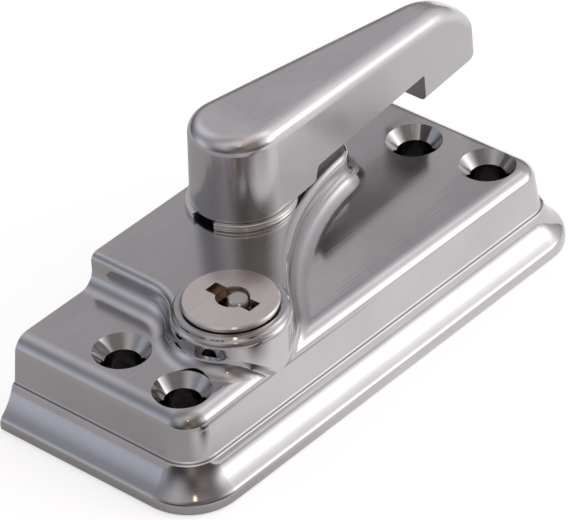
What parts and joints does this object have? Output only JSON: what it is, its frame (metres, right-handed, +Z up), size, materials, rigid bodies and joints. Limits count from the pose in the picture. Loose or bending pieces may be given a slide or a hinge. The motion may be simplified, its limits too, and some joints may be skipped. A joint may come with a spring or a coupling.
{
  "type": "window cam lock",
  "caption": "Keyed cam lock for a sliding window: moulded surface case, a lever on a post that swings a hook out of the back, and a key cylinder that bolts it.",
  "frame": {"origin": "centre of the underside, on the sash, halfway along the case and halfway between its front and its flat back face", "axes": "+X along the case, from the key end to the end under the lever; +Y towards the flat back face, where the other sash is; +Z up, out of the sash"},
  "size_m": [0.0916, 0.036, 0.0323],
  "materials": {
    "satin_case": "satin chrome plate, finely brushed",
    "satin_lever": "satin chrome plate, brushed along the arm",
    "raw_zinc": "plain die-cast zinc",
    "plain_steel": "zinc-plated steel",
    "bright_steel": "bright spring steel",
    "brass": "plain brass",
    "nickel_plug": "satin nickel plate on brass"
  },
  "bodies": {
    "case": {"housing": "satin_case", "base_plate": "raw_zinc", "plate_screw_1": "plain_steel", "plate_screw_2": "plain_steel", "plate_screw_3": "plain_steel", "spindle_bush": "brass", "cylinder_shell": "brass", "bolt_cover": "plain_steel", "cover_screw_left": "plain_steel", "cover_screw_right": "plain_steel", "split_ring_lower": "bright_steel", "split_ring_upper": "bright_steel"},
    "handle": {"lever": "satin_lever", "spindle": "plain_steel", "thrust_washer": "plain_steel", "cam": "raw_zinc", "cam_washer": "plain_steel", "cam_screw": "plain_steel"},
    "key_plug": {"plug": "nickel_plug", "wafer_1": "brass", "wafer_2": "brass", "wafer_3": "brass", "wafer_4": "brass", "wafer_5": "brass", "wafer_spring_1": "bright_steel", "wafer_spring_2": "bright_steel", "wafer_spring_3": "bright_steel", "wafer_spring_4": "bright_steel", "wafer_spring_5": "bright_steel", "keyway_shutter": "bright_steel", "crank": "plain_steel", "crank_screw": "plain_steel"},
    "bolt": {"lock_bolt": "plain_steel"}
  },
  "joints": [
    {"name": "lever_turn", "type": "hinge", "parent": "case", "child": "handle", "pos_m": [0, 0.0098, 0], "axis": [0, 0, 1], "range_deg": [-180, 0]},
    {"name": "key_turn", "type": "hinge", "parent": "case", "child": "key_plug", "pos_m": [-0.0193, -0.00526, 0], "axis": [0, 0, 1], "range_deg": [-90, 0]},
    {"name": "bolt_slide", "type": "slide", "parent": "case", "child": "bolt", "axis": [0.7884, 0.6152, 0], "range_m": [0, 0.00455]}
  ],
  "couplings": [
    {"joint": "bolt_slide", "follows": "key_turn", "m_per_rad": -0.002881}
  ]
}
